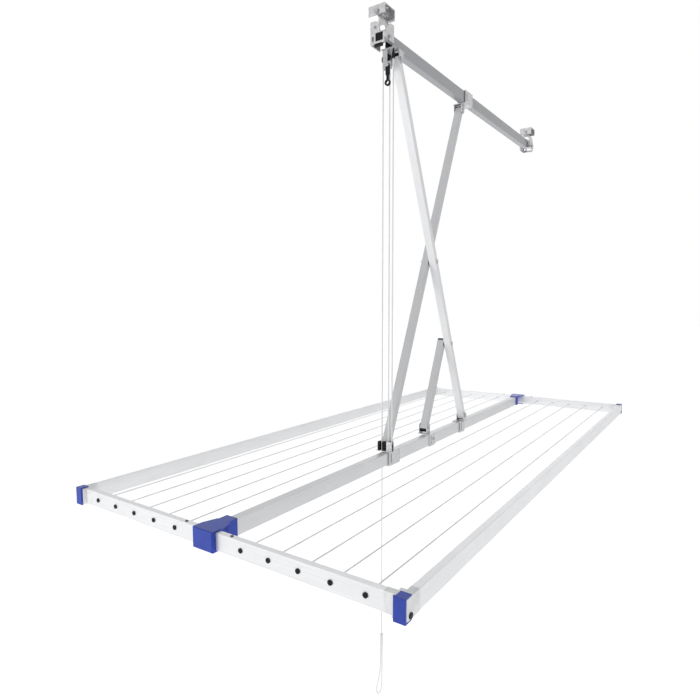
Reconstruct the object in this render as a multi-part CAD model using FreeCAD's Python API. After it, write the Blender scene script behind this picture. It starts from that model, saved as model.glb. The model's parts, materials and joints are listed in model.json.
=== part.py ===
import FreeCAD, Part
import math
import os

# Ceiling mounted pulley rack: a clothes drying frame that hangs on a scissor of flat
# arms under a ceiling rail and is pulled up by a cord over two sheaves.
# Millimetres. Z is up, Y runs along the ceiling rail, X runs across it.
# The origin is on the ceiling plane, midway between the two ceiling brackets.

V = FreeCAD.Vector
X_AXIS = V(1, 0, 0)
Y_AXIS = V(0, 1, 0)
Z_AXIS = V(0, 0, 1)

# ---- overall sizes
RACK_LENGTH = 1500.0         # over the end caps
RACK_WIDTH = 700.0           # over the side rails
RAIL_LENGTH = 950.0          # ceiling rail
ARM_SPAN = 940.0             # long arm, pivot to pivot
REST_SPREAD = 385.0          # fixed pivot to sliding pivot with the rack fully down
RAIL_DROP = 44.0             # ceiling to the top of the ceiling rail

# ---- aluminium sections
TUBE_WALL = 1.5
TUBE_EDGE = 1.0              # rounding along a tube's outer edges
RAIL_WIDTH = 18.0
RAIL_HEIGHT = 28.0
BEAM_WIDTH = 18.0
FRAME_HEIGHT = 28.0          # centre beam, side rails and cross rails
SIDE_RAIL_WIDTH = 12.0
CROSS_RAIL_DEPTH = 11.0
ARM_WIDTH = 19.0
ARM_DEPTH = 14.0
SHORT_ARM_SHARE = 0.25       # of a long arm

# ---- fits
RUNNING_FIT = 0.05           # radial, pin in a turning hole
SIDE_GAP = 0.5               # beside a turning arm, sheave or lever
SLIDE_GAP = 1.0              # sleeve round the rail or beam that it slides on
RIVET_GAP = 0.3              # under a rivet head that must let an arm turn
TONGUE_GAP = 0.3             # tongue beside the walls of the rail that it lies in

# ---- scissor joints
ARM_GAP = 2.0                # between the two planes of arms
ARM_SHIFT = -2.0             # middle of that gap from the rail's centre plane
PIN_RADIUS = 3.0
HEAD_RADIUS = 5.5
HEAD_THICK = 1.7
PIVOT_INSET = 20.0           # rail's near end to the fixed pivot
PIVOT_DROP = 18.0            # rail underside, or beam top, to the pivots beside it
TUBE_PAST_PIVOT = 7.0        # arm tube beyond its pivot
PLUG_SPIGOT = 3.0
SPACER_RADIUS = 7.0
PLATE = 2.0                  # sheet thickness of the folded brackets
EAR_RADIUS = 9.0
SLIDER_AHEAD = 13.0          # rail slider's sleeve on the near side of its pivot
SLIDER_BEHIND = 37.0         # and on the far side
NEAR_FOOT_AHEAD = 31.0
NEAR_FOOT_BEHIND = 19.0
FOOT_HALF = 16.0             # half length of the middle and far feet
FIXED_PLATE_HALF = 13.0      # half length of the fixed pivot's plate
SLOT_WIDTH = 3.0
SLOT_INSET = 8.0
SLOT_MARGIN = 3.0

# ---- ceiling brackets
BRACKET_WIDTH = 40.0
BRACKET_LENGTH = 42.0
FLANGE_DROP = 20.0
LIP = 8.0
BRACKET_STANDOFF = 8.0       # rail end to the bracket
SCREW_SPACING = 26.0
SCREW_HOLE_RADIUS = 2.6
BOLT_DROP = 13.0             # ceiling to the hanger bolt
BOLT_RADIUS = 3.0
BOLT_HEAD_RADIUS = 5.6
BOLT_HEAD = 4.0
EYE_RADIUS = 6.0
EYE_WIDTH = 14.0
HANGER_STANDOFF = 8.0        # rail end to the hanger
HANGER_LENGTH = 38.0
HANGER_INNER = 32.0          # between the hanger's cheeks
SHORT_CHEEK_DROP = 68.0      # ceiling to the foot of the right cheek
CHEEK_TOP_DROP = 31.0        # ceiling to its top, behind its two slopes
CHEEK_NOSE_DROP = 56.0       # ceiling to the top of its front edge
CHEEK_KNEE = 9.0             # its front edge to where the slopes meet
CHEEK_SHOULDER = 24.0        # its front edge to its level top
CHEEK_LIP = 6.0
PANEL_TOP_DROP = 29.5        # ceiling to the top of the end panel and the left cheek
PANEL_BOTTOM_DROP = 77.0
PANEL_SHOULDER_X = -8.0      # its top slopes down to the right from here
PANEL_SHOULDER_FALL = 4.5
PANEL_STEP_X = 5.0           # it reaches right of this only below its step
PANEL_STEP_DROP = 53.0
PANEL_HOLE_X = -5.5
PANEL_HOLE_DROP = 43.0
PANEL_HOLE_RADIUS = 3.5
WINDOW_LEFT = -5.5
WINDOW_RIGHT = 13.0
WINDOW_TOP_DROP = 54.5
WINDOW_BOTTOM_DROP = 71.5
SIDE_SLOT_X = -12.0
SIDE_SLOT_DROP = 65.0
SIDE_SLOT_WIDTH = 5.0
SIDE_SLOT_LENGTH = 11.0
CROSS_BOLT_DROP = 62.0
NECK_WIDTH = 6.0
NECK_FOOT_DROP = 42.0        # ceiling to where the neck meets the right cheek

# ---- straps and plugs in the ends of the ceiling rail, and the pad behind the near window
STRAP_TONGUE = 30.0          # length inside the rail
STRAP_EYE = 6.0
TONGUE_THICK = 2.0
PLUG_LENGTH = 10.0
PAD_DEPTH = 3.0
PAD_MARGIN = 1.5             # pad round the window
PAD_FOOT_REACH = 2.0         # foot of the pad ahead of the panel
PAD_FOOT_HEIGHT = 5.5
PAD_FOOT_SEAT = 2.0          # of the foot under the pad

# ---- cord and sheaves
CORD_RADIUS = 1.5
CORD_AHEAD = 3.0             # cord plane ahead of the rail's near end
HAND_CORD_X = -12.0
FIRST_FALL_X = 5.0
SECOND_FALL_X = 14.0
SHEAVE_DROP = 93.0           # ceiling to the ceiling sheave's axle
SHEAVE_THICK = 6.0
SHEAVE_RIM = 2.5             # sheave rim beyond the cord's centre line
AXLE_RADIUS = 2.0
HOUSING_PLATE = 1.5
PLATE_NARROWING = 4.0        # left of the housing's front plate, inside the rear one
FRONT_PLATE_WIDTH = 11.5     # above the lock lever's pivot
FRONT_PLATE_STEP = 10.0      # above the pivot, where the front plate widens
ANCHOR_RADIUS = 3.4
ANCHOR_STEM_RADIUS = 1.5
ANCHOR_STEM = 10.5
ANCHOR_LENGTH = 11.0
LOCK_X = 4.0
LOCK_PIVOT_DROP = 110.0
LOCK_MARGIN = 4.0            # housing plate below the lock lever's pivot
LOCK_LENGTH = 36.0           # lock lever's pivot to the centre of its eye
LOCK_THICK = 4.0
LOCK_WIDTH = 9.0
LOCK_STEM_WIDTH = 5.0
LOCK_BODY_LENGTH = 20.0
EYE_OUTER = 6.8
EYE_INNER = 3.6
PULLEY_RISE = 18.0           # beam top to the lifting pulley's axle
CORD_NOTCH = 5.0             # notch in the near foot for the hand cord
GUIDE_WIDTH = 18.0
GUIDE_DEPTH = 10.0
GUIDE_HEIGHT = 20.0
GUIDE_SLOT = 5.5
KNOT_TOP_DROP = 1411.0       # ceiling to the knot of the hand loop
KNOT_LENGTH = 30.0
KNOT_RADIUS = 3.8
STRAND_OFFSET = 1.8          # loop strands either side of the hand cord's line

# Hand loop below the knot: X from the hand cord's line and drop below the knot's foot.
LOOP_ROUTE = [
    (STRAND_OFFSET, 0.0),
    (STRAND_OFFSET, 62.0),
    (1.2, 100.0),
    (-2.4, 118.0),
    (-9.0, 127.5),
    (-14.4, 118.5),
    (-10.4, 99.0),
    (-STRAND_OFFSET, 62.0),
    (-STRAND_OFFSET, 0.0),
]
LOOP_ARC_SHARE = 0.45        # of the shorter run beside a bend

# ---- drying frame
RACK_OFFSET = -8.0           # middle foot to the middle of the drying frame, along Y
LINES_PER_SIDE = 5
FIRST_LINE = 74.0            # centre plane to the first drying line
LINE_SPACING = 54.0
LINE_RADIUS = 1.25
BUSH_RADIUS = 3.75
BUSH_SHANK_RADIUS = 2.75
BUSH_HEAD = 1.5
BUSH_SHANK = 4.0             # the line ends in it, behind the closed head
LINE_HOLE_RADIUS = 2.0
CAP_WALL = 3.0               # front plate of a corner cap
CAP_WIDTH = 17.0
CAP_LIP = 2.0
CAP_LIP_LENGTH = 13.0
CAP_STANDOFF = 8.0           # end caps' outer face to the cross rail's outer face
CORNER_SIDE_REACH = 37.0     # end caps' outer face to the side rail's end
CORNER_CROSS_REACH = 34.0    # side rail's outer face to the cross rail's end
CORNER_BODY = 20.0
CORNER_ROUND = 4.0
CORNER_SPIGOT = 20.0
RAIL_JOINT_GAP = 1.0         # between the two halves of a cross rail
JOINER_HALF = 62.0
JOINER_SCREW_X = 51.0
JOINER_SCREW_RADIUS = 2.5
JOINER_SCREW_HEAD = 1.2
CORNER_SCREW_RADIUS = 4.0
CORNER_SCREW_HEAD = 1.5
CORNER_SCREW_SHANK = 8.0
CORNER_SCREW_BACK = 13.0     # end caps' outer face to the screw
CORNER_SCREW_RISE = 5.0      # connector's underside to the screw
CENTRE_CAP_HALF = 22.0
CENTRE_CAP_NECK = 14.0
CENTRE_CAP_WALL = 3.0
CENTRE_CAP_TAPER = 25.0
BEAM_END = 46.0              # end caps' outer face to the centre beam's end
BEAM_CLIP_LENGTH = 16.0
FOOT_SCREW_RADIUS = 2.0
FOOT_SCREW_HEAD_RADIUS = 3.5
FOOT_SCREW_HEAD = 1.5
STRAP_RIVET_HEAD = 0.6       # low, so that the slider's sleeve passes over it

# ---- worked out from the sizes above
REST_ANGLE = math.degrees(math.asin(REST_SPREAD / ARM_SPAN))
REST_HEIGHT = math.sqrt(ARM_SPAN ** 2 - REST_SPREAD ** 2)
FRONT_PLANE = ARM_SHIFT + (ARM_WIDTH + ARM_GAP) / 2
REAR_PLANE = ARM_SHIFT - (ARM_WIDTH + ARM_GAP) / 2
RAIL_SECTION = (RAIL_WIDTH, RAIL_HEIGHT)
BEAM_SECTION = (BEAM_WIDTH, FRAME_HEIGHT)
RAIL_END = RAIL_LENGTH / 2
RAIL_BOTTOM = -RAIL_DROP - RAIL_HEIGHT
RAIL_MIDDLE = -RAIL_DROP - RAIL_HEIGHT / 2
PIVOT_Y = -RAIL_END + PIVOT_INSET
PIVOT_Z = RAIL_BOTTOM - PIVOT_DROP
SLIDER_Y = PIVOT_Y + REST_SPREAD
CROSSING_Y = PIVOT_Y + REST_SPREAD / 2
CROSSING_Z = PIVOT_Z - REST_HEIGHT / 2
BRANCH_Y = PIVOT_Y + (1 - SHORT_ARM_SHARE) * REST_SPREAD
BRANCH_Z = PIVOT_Z - (1 - SHORT_ARM_SHARE) * REST_HEIGHT
FOOT_Z = PIVOT_Z - REST_HEIGHT
BEAM_Z = FOOT_Z - PIVOT_DROP - FRAME_HEIGHT / 2
BEAM_TOP = BEAM_Z + FRAME_HEIGHT / 2
RACK_Y = CROSSING_Y + RACK_OFFSET
RACK_END = RACK_LENGTH / 2
CORD_Y = -RAIL_END - CORD_AHEAD
BRACKET_Y = RAIL_END + BRACKET_STANDOFF + BRACKET_LENGTH / 2
HANGER_BACK = -RAIL_END - HANGER_STANDOFF
HANGER_FRONT = HANGER_BACK - HANGER_LENGTH
CROSS_BOLT_Y = HANGER_BACK - HANGER_LENGTH / 2
HANGER_OUTER = HANGER_INNER / 2 + PLATE
TONGUE_HALF = RAIL_WIDTH / 2 - TUBE_WALL - TONGUE_GAP
SHEAVE_X = (HAND_CORD_X + FIRST_FALL_X) / 2
SHEAVE_CORD_RADIUS = (FIRST_FALL_X - HAND_CORD_X) / 2
PULLEY_X = (FIRST_FALL_X + SECOND_FALL_X) / 2
PULLEY_CORD_RADIUS = (SECOND_FALL_X - FIRST_FALL_X) / 2
PULLEY_Z = BEAM_TOP + PULLEY_RISE
KNOT_BOTTOM = -KNOT_TOP_DROP - KNOT_LENGTH
SLEEVE_TOP = SLIDE_GAP + PLATE
EAR_REACH = ARM_WIDTH / 2 + SIDE_GAP + PLATE     # an arm's plane to its ears' outer faces
HOUSING_GAP = SHEAVE_THICK / 2 + SIDE_GAP


# ---- building blocks
def block(x_limits, y_limits, z_limits):
    """A box between pairs of X, Y and Z limits, given in either order."""
    x0, x1 = sorted(x_limits)
    y0, y1 = sorted(y_limits)
    z0, z1 = sorted(z_limits)
    return Part.makeBox(x1 - x0, y1 - y0, z1 - z0, V(x0, y0, z0))


def rod(start, direction, radius, length):
    return Part.makeCylinder(radius, length, start, direction)


def fuse_all(shapes):
    whole = shapes[0]
    for shape in shapes[1:]:
        whole = whole.fuse(shape)
    return whole.removeSplitter()


def cut_all(shape, tools):
    for tool in tools:
        shape = shape.cut(tool)
    return shape


def round_edges(shape, direction, radius):
    """Round the straight edges that run along a direction."""
    edges = [
        edge for edge in shape.Edges
        if isinstance(edge.Curve, Part.Line)
        and abs(abs(edge.Curve.Direction.dot(direction)) - 1) < 1e-6
    ]
    return shape.makeFillet(radius, edges)


def mirrored(shape, normal, centre=V(0, 0, 0)):
    return shape.mirror(centre, normal)


def tube(x_limits, y_limits, z_limits, axis):
    """A rectangular tube with rounded outer edges and open ends, along X or Y or Z."""
    limits = [sorted(x_limits), sorted(y_limits), sorted(z_limits)]
    outer = round_edges(block(*limits), axis, TUBE_EDGE)
    along = [X_AXIS, Y_AXIS, Z_AXIS].index(axis)
    for side in range(3):
        inset = -TUBE_WALL if side == along else TUBE_WALL
        limits[side] = [limits[side][0] + inset, limits[side][1] - inset]
    return outer.cut(block(*limits))


def ring_plate(centre, axis, outer_radius, inner_radius, thickness):
    """A flat ring whose middle plane passes through its centre."""
    start = centre - axis * (thickness / 2)
    disc = rod(start, axis, outer_radius, thickness)
    return disc.cut(rod(start, axis, inner_radius, thickness))


def headed_pin(start, direction, radius, length, head_radius, head):
    """A pin with a head at its start and a second head at its far end."""
    shank = rod(start, direction, radius, length)
    near_head = rod(start - direction * head, direction, head_radius, head)
    far_head = rod(start + direction * length, direction, head_radius, head)
    return fuse_all([shank, near_head, far_head])


def hexagon(centre, direction, radius, thickness):
    """A hexagonal prism along X or Y, such as a bolt head or a nut."""
    across = Z_AXIS
    sideways = direction.cross(across)
    corners = []
    for turn in range(7):
        angle = math.radians(60 * turn)
        offset = across * (radius * math.cos(angle)) + sideways * (radius * math.sin(angle))
        corners.append(centre + offset)
    face = Part.Face(Part.makePolygon(corners))
    return face.extrude(direction * thickness)


def sheave(centre, cord_radius_line):
    """A grooved wheel whose axle lies along Y."""
    rim = cord_radius_line + SHEAVE_RIM
    wheel = rod(centre - Y_AXIS * (SHEAVE_THICK / 2), Y_AXIS, rim, SHEAVE_THICK)
    groove = Part.makeTorus(cord_radius_line, CORD_RADIUS + RIVET_GAP, centre, Y_AXIS)
    mouth = ring_plate(centre, Y_AXIS, rim, cord_radius_line, 2 * (CORD_RADIUS + RIVET_GAP))
    bore = rod(centre - Y_AXIS * SHEAVE_THICK, Y_AXIS, AXLE_RADIUS + RUNNING_FIT, 2 * SHEAVE_THICK)
    return cut_all(wheel, [groove, mouth, bore])


def cord_sweep(edges, start, direction):
    """A round cord swept along edges that join smoothly."""
    section = Part.Wire([Part.makeCircle(CORD_RADIUS, start, direction)])
    return Part.Wire(edges).makePipeShell([section], True, False)


def half_turn(centre, radius, up):
    """The edge of a half turn in the XZ plane, from the +X side to the -X side."""
    middle = centre + Z_AXIS * (radius if up else -radius)
    arc = Part.Arc(centre + X_AXIS * radius, middle, centre - X_AXIS * radius)
    return arc.toShape()


def rounded_route(points):
    """Straight runs joined by tangent arcs, with the radius of each arc."""
    edges = []
    radii = []
    last = points[0]
    for before, corner, after in zip(points, points[1:], points[2:]):
        arriving = corner - before
        leaving = after - corner
        turn = arriving.getAngle(leaving)
        share = LOOP_ARC_SHARE * min(arriving.Length, leaving.Length)
        radius = share / math.tan(turn / 2)
        arriving.normalize()
        leaving.normalize()
        enter = corner - arriving * share
        leave = corner + leaving * share
        inward = leaving - arriving
        inward.normalize()
        middle = corner + inward * (radius / math.cos(turn / 2) - radius)
        edges.append(Part.LineSegment(last, enter).toShape())
        edges.append(Part.Arc(enter, middle, leave).toShape())
        radii.append(radius)
        last = leave
    edges.append(Part.LineSegment(last, points[-1]).toShape())
    return edges, radii


# ---- scissor arms
def arm_frame(shape, y, z, angle):
    """Turn an arm modelled straight down from its upper pivot, and put it in place."""
    shape.rotate(V(0, 0, 0), X_AXIS, angle)
    shape.translate(V(0, y, z))
    return shape


def arm_tube(plane, span, tight_drops, loose_drops):
    """An arm with holes for pins held tight in it and for pins that it turns on."""
    body = tube(
        (plane - ARM_WIDTH / 2, plane + ARM_WIDTH / 2),
        (-ARM_DEPTH / 2, ARM_DEPTH / 2),
        (TUBE_PAST_PIVOT, -span - TUBE_PAST_PIVOT),
        Z_AXIS,
    )
    start_x = plane - ARM_WIDTH
    for drop in tight_drops:
        body = body.cut(rod(V(start_x, 0, -drop), X_AXIS, PIN_RADIUS, 2 * ARM_WIDTH))
    for drop in loose_drops:
        body = body.cut(rod(V(start_x, 0, -drop), X_AXIS, PIN_RADIUS + RUNNING_FIT, 2 * ARM_WIDTH))
    return body


def arm_plug(plane, tube_end, outward):
    """A rounded end plug; outward is +1 at the upper end of an arm and -1 at the lower."""
    half_width = ARM_WIDTH / 2
    nose = rod(V(plane - half_width, 0, tube_end), X_AXIS, ARM_DEPTH / 2, ARM_WIDTH)
    nose = nose.common(block(
        (plane - half_width, plane + half_width),
        (-ARM_DEPTH, ARM_DEPTH),
        (tube_end, tube_end + outward * ARM_DEPTH),
    ))
    spigot = block(
        (plane - half_width + TUBE_WALL, plane + half_width - TUBE_WALL),
        (-ARM_DEPTH / 2 + TUBE_WALL, ARM_DEPTH / 2 - TUBE_WALL),
        (tube_end, tube_end - outward * PLUG_SPIGOT),
    )
    return nose.fuse(spigot)


def arm_plugs(plane, span):
    upper = arm_plug(plane, TUBE_PAST_PIVOT, 1)
    lower = arm_plug(plane, -span - TUBE_PAST_PIVOT, -1)
    return Part.makeCompound([upper, lower])


def arm_rivet(y, z):
    """A rivet held in the front arm that the arm behind it turns on."""
    front = FRONT_PLANE + ARM_WIDTH / 2
    back = REAR_PLANE - ARM_WIDTH / 2 - RIVET_GAP
    return headed_pin(V(back, y, z), X_AXIS, PIN_RADIUS, front - back, HEAD_RADIUS, HEAD_THICK)


def arm_spacer(y, z):
    thickness = ARM_GAP - RIVET_GAP
    centre = V(FRONT_PLANE - ARM_WIDTH / 2 - thickness / 2, y, z)
    return ring_plate(centre, X_AXIS, SPACER_RADIUS, PIN_RADIUS, thickness)


# ---- folded brackets that hold an arm's end
def arm_plane(side):
    """The middle plane of the arms on a side: +1 for the front ones, -1 for those behind."""
    return FRONT_PLANE if side > 0 else REAR_PLANE


def ear(x_inner, x_outer, y, z_pivot, z_base):
    plate = block((x_inner, x_outer), (y - EAR_RADIUS, y + EAR_RADIUS), (z_pivot, z_base))
    thickness = abs(x_outer - x_inner)
    tip = rod(V(min(x_inner, x_outer), y, z_pivot), X_AXIS, EAR_RADIUS, thickness)
    return plate.fuse(tip)


def ear_pair(side, y, z_pivot, z_base):
    """Two ears, one on each side of an arm."""
    ears = []
    for way in (-1, 1):
        inner = arm_plane(side) + way * (ARM_WIDTH / 2 + SIDE_GAP)
        ears.append(ear(inner, inner + way * PLATE, y, z_pivot, z_base))
    return ears


def ear_holes(side, y, z_pivot):
    start = V(arm_plane(side) - EAR_REACH, y, z_pivot)
    return rod(start, X_AXIS, PIN_RADIUS, 2 * EAR_REACH)


def pivot_pin(side, y, z_pivot):
    start = V(arm_plane(side) - EAR_REACH, y, z_pivot)
    return headed_pin(start, X_AXIS, PIN_RADIUS, 2 * EAR_REACH, HEAD_RADIUS, HEAD_THICK)


def sleeve_bracket(side, section, z_middle, y_limits, y_pivot, z_pivot, gap):
    """A folded sleeve round a rail with ears for an arm, and a slot in its +X wall."""
    half_width, half_height = section[0] / 2, section[1] / 2
    sleeve = block(
        (-half_width - gap - PLATE, half_width + gap + PLATE),
        y_limits,
        (z_middle - half_height - gap - PLATE, z_middle + half_height + gap + PLATE),
    )
    hollow = block(
        (-half_width - gap, half_width + gap),
        (y_limits[0] - PLATE, y_limits[1] + PLATE),
        (z_middle - half_height - gap, z_middle + half_height + gap),
    )
    up = 1 if z_pivot > z_middle else -1
    z_inner = z_middle + up * (half_height + gap)
    z_outer = z_inner + up * PLATE
    table = block(
        (-side * (half_width + gap + PLATE), arm_plane(side) + side * EAR_REACH),
        y_limits,
        (z_inner, z_outer),
    )
    slot = block(
        (half_width + gap, half_width + gap + PLATE),
        (y_limits[0] + SLOT_INSET, y_limits[0] + SLOT_INSET + SLOT_WIDTH),
        (z_middle - half_height + SLOT_MARGIN, z_middle + half_height - SLOT_MARGIN),
    )
    body = fuse_all([sleeve.cut(hollow), table] + ear_pair(side, y_pivot, z_pivot, z_outer))
    return cut_all(body, [slot, ear_holes(side, y_pivot, z_pivot)])


# ---- ceiling brackets, hangers and rail
def ceiling_channel(y):
    """An inverted channel screwed to the ceiling, with a return lip on its rail side."""
    half_width = BRACKET_WIDTH / 2
    half_length = BRACKET_LENGTH / 2
    inward = 1 if y < 0 else -1
    rail_side = y + inward * half_length
    across = (-half_width, half_width)
    top = block(across, (y - half_length, y + half_length), (-PLATE, 0))
    outer_flange = block(
        across,
        (y - inward * half_length, y - inward * (half_length - PLATE)),
        (-FLANGE_DROP, 0),
    )
    rail_flange = block(across, (rail_side, rail_side - inward * PLATE), (-FLANGE_DROP, 0))
    lip = block(across, (rail_side, rail_side - inward * LIP), (-FLANGE_DROP, -FLANGE_DROP - PLATE))
    bolt_hole = rod(V(0, y - half_length, -BOLT_DROP), Y_AXIS, BOLT_RADIUS, BRACKET_LENGTH)
    screw_holes = [
        rod(V(x, y, -PLATE), Z_AXIS, SCREW_HOLE_RADIUS, PLATE)
        for x in (-SCREW_SPACING / 2, SCREW_SPACING / 2)
    ]
    return cut_all(fuse_all([top, outer_flange, rail_flange, lip]), [bolt_hole] + screw_holes)


def upright_slot(x, z_middle, width, length, y_limits):
    """The cutter of a round ended upright slot through a panel that faces Y."""
    half_straight = (length - width) / 2
    z_limits = (z_middle - half_straight, z_middle + half_straight)
    body = block((x - width / 2, x + width / 2), y_limits, z_limits)
    depth = y_limits[1] - y_limits[0]
    ends = [
        rod(V(x, y_limits[0], z_middle + side * half_straight), Y_AXIS, width / 2, depth)
        for side in (-1, 1)
    ]
    return fuse_all([body] + ends)


def hanger_panel():
    """The hanger's end panel, stepped down on its right, with a window, a hole and a slot."""
    y_limits = (HANGER_FRONT, HANGER_FRONT + PLATE)
    right = HANGER_INNER / 2
    outline = [
        V(-HANGER_OUTER, HANGER_FRONT, -PANEL_BOTTOM_DROP),
        V(-HANGER_OUTER, HANGER_FRONT, -PANEL_TOP_DROP),
        V(PANEL_SHOULDER_X, HANGER_FRONT, -PANEL_TOP_DROP),
        V(PANEL_STEP_X, HANGER_FRONT, -PANEL_TOP_DROP - PANEL_SHOULDER_FALL),
        V(PANEL_STEP_X, HANGER_FRONT, -PANEL_BOTTOM_DROP),
        V(-HANGER_OUTER, HANGER_FRONT, -PANEL_BOTTOM_DROP),
    ]
    tall = Part.Face(Part.makePolygon(outline)).extrude(Y_AXIS * PLATE)
    low = block((PANEL_STEP_X, right), y_limits, (-PANEL_BOTTOM_DROP, -PANEL_STEP_DROP))
    window = block((WINDOW_LEFT, WINDOW_RIGHT), y_limits, (-WINDOW_BOTTOM_DROP, -WINDOW_TOP_DROP))
    hole = rod(V(PANEL_HOLE_X, HANGER_FRONT, -PANEL_HOLE_DROP), Y_AXIS, PANEL_HOLE_RADIUS, PLATE)
    slot = upright_slot(SIDE_SLOT_X, -SIDE_SLOT_DROP, SIDE_SLOT_WIDTH, SIDE_SLOT_LENGTH, y_limits)
    return cut_all(tall.fuse(low), [window, hole, slot])


def hanger():
    """The near yoke: it hangs on its bracket's bolt and carries the rail's strap between cheeks."""
    inner = HANGER_INNER / 2
    along = (HANGER_FRONT, HANGER_BACK)
    cheek_outline = [
        V(inner, HANGER_FRONT, -SHORT_CHEEK_DROP),
        V(inner, HANGER_FRONT, -CHEEK_NOSE_DROP),
        V(inner, HANGER_FRONT + CHEEK_KNEE, -NECK_FOOT_DROP),
        V(inner, HANGER_FRONT + CHEEK_SHOULDER, -CHEEK_TOP_DROP),
        V(inner, HANGER_BACK, -CHEEK_TOP_DROP),
        V(inner, HANGER_BACK, -SHORT_CHEEK_DROP),
        V(inner, HANGER_FRONT, -SHORT_CHEEK_DROP),
    ]
    right_cheek = Part.Face(Part.makePolygon(cheek_outline)).extrude(X_AXIS * PLATE)
    lip = block((inner - CHEEK_LIP, inner), (HANGER_FRONT + PLATE + PAD_DEPTH, HANGER_BACK),
                (-SHORT_CHEEK_DROP, -SHORT_CHEEK_DROP + PLATE))
    left_cheek = block((-HANGER_OUTER, -inner), along, (-PANEL_BOTTOM_DROP, -PANEL_TOP_DROP))
    eye_y = -BRACKET_Y - EYE_WIDTH / 2
    eye = rod(V(0, eye_y, -BOLT_DROP), Y_AXIS, EYE_RADIUS, EYE_WIDTH)
    half_neck = NECK_WIDTH / 2
    neck_foot = HANGER_OUTER - half_neck
    neck_outline = [
        V(-half_neck, eye_y, -BOLT_DROP),
        V(half_neck, eye_y, -BOLT_DROP),
        V(neck_foot + half_neck, eye_y, -NECK_FOOT_DROP),
        V(neck_foot - half_neck, eye_y, -NECK_FOOT_DROP),
        V(-half_neck, eye_y, -BOLT_DROP),
    ]
    neck = Part.Face(Part.makePolygon(neck_outline)).extrude(Y_AXIS * EYE_WIDTH)
    body = fuse_all([right_cheek, lip, left_cheek, hanger_panel(), eye, neck])
    bolt_hole = rod(V(0, eye_y, -BOLT_DROP), Y_AXIS, BOLT_RADIUS, EYE_WIDTH)
    cross_hole = rod(V(-HANGER_OUTER, CROSS_BOLT_Y, -CROSS_BOLT_DROP), X_AXIS, BOLT_RADIUS, 2 * HANGER_OUTER)
    return cut_all(body, [bolt_hole, cross_hole])


def rail_strap():
    """The strap inside the rail's near end, with an eye on the hanger's cross bolt."""
    rail_inner_top = -RAIL_DROP - TUBE_WALL
    across = (-TONGUE_HALF, TONGUE_HALF)
    tongue = block(across, (CROSS_BOLT_Y, -RAIL_END + STRAP_TONGUE),
                   (rail_inner_top - TONGUE_THICK, rail_inner_top))
    drop = block(across, (CROSS_BOLT_Y - STRAP_EYE, CROSS_BOLT_Y + STRAP_EYE),
                 (-CROSS_BOLT_DROP, rail_inner_top))
    start = V(-TONGUE_HALF, CROSS_BOLT_Y, -CROSS_BOLT_DROP)
    eye = rod(start, X_AXIS, STRAP_EYE, 2 * TONGUE_HALF)
    bore = rod(start, X_AXIS, BOLT_RADIUS, 2 * TONGUE_HALF)
    seat, inward = strap_rivet_seat()
    rivet_hole = rod(seat, inward, AXLE_RADIUS, RAIL_HEIGHT / 2)
    return cut_all(fuse_all([tongue, drop, eye]), [bore, rivet_hole])


def rail_plug():
    """The plug in the rail's near end, between the strap's tongue and the housing's."""
    top = -RAIL_DROP - TUBE_WALL - TONGUE_THICK - TONGUE_GAP
    bottom = RAIL_BOTTOM + TUBE_WALL + TONGUE_THICK + TONGUE_GAP
    return block((-TONGUE_HALF, TONGUE_HALF), (-RAIL_END, -RAIL_END + PLUG_LENGTH), (bottom, top))


def end_pad():
    """The pad behind the window of the near hanger, with a foot below the panel."""
    back = HANGER_FRONT + PLATE + PAD_DEPTH
    left = WINDOW_LEFT - PAD_MARGIN
    body = block(
        (left, WINDOW_RIGHT + PAD_MARGIN),
        (HANGER_FRONT + PLATE, back),
        (-PANEL_BOTTOM_DROP, -WINDOW_TOP_DROP + PAD_MARGIN),
    )
    foot = block(
        (left, WINDOW_RIGHT - PAD_MARGIN),
        (HANGER_FRONT - PAD_FOOT_REACH, HANGER_FRONT + PLATE + PAD_FOOT_SEAT),
        (-PANEL_BOTTOM_DROP - PAD_FOOT_HEIGHT, -PANEL_BOTTOM_DROP),
    )
    return fuse_all([body, foot])


def hanger_bolt(y):
    half_length = BRACKET_LENGTH / 2
    shank_length = BRACKET_LENGTH + 2 * BOLT_HEAD
    shank = rod(V(0, y - half_length, -BOLT_DROP), Y_AXIS, BOLT_RADIUS, shank_length)
    head = hexagon(V(0, y - half_length, -BOLT_DROP), -Y_AXIS, BOLT_HEAD_RADIUS, BOLT_HEAD)
    return shank.fuse(head)


def cross_bolt(y):
    start = V(-HANGER_OUTER - 2 * BOLT_HEAD, y, -CROSS_BOLT_DROP)
    shank = rod(start, X_AXIS, BOLT_RADIUS, 2 * HANGER_OUTER + 2 * BOLT_HEAD)
    head = hexagon(V(HANGER_OUTER, y, -CROSS_BOLT_DROP), X_AXIS, BOLT_HEAD_RADIUS, BOLT_HEAD)
    return shank.fuse(head)


def nut(seat, outward):
    body = hexagon(seat, outward, BOLT_HEAD_RADIUS, BOLT_HEAD)
    return body.cut(rod(seat, outward, BOLT_RADIUS, BOLT_HEAD))


def nuts():
    made = []
    for side in (-1, 1):
        made.append(nut(V(0, side * BRACKET_Y + BRACKET_LENGTH / 2, -BOLT_DROP), Y_AXIS))
        made.append(nut(V(-HANGER_OUTER, side * CROSS_BOLT_Y, -CROSS_BOLT_DROP), -X_AXIS))
    return Part.makeCompound(made)


def bracket_rivet_seats():
    """Where rivet heads sit between the fixed pivot's ears, and the way the rivets run."""
    x = FRONT_PLANE - ARM_WIDTH / 2 + FOOT_SCREW_HEAD_RADIUS
    half_gap = FIXED_PLATE_HALF / 2
    return [(V(x, y, RAIL_BOTTOM - PLATE), Z_AXIS) for y in (PIVOT_Y - half_gap, PIVOT_Y + half_gap)]


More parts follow.
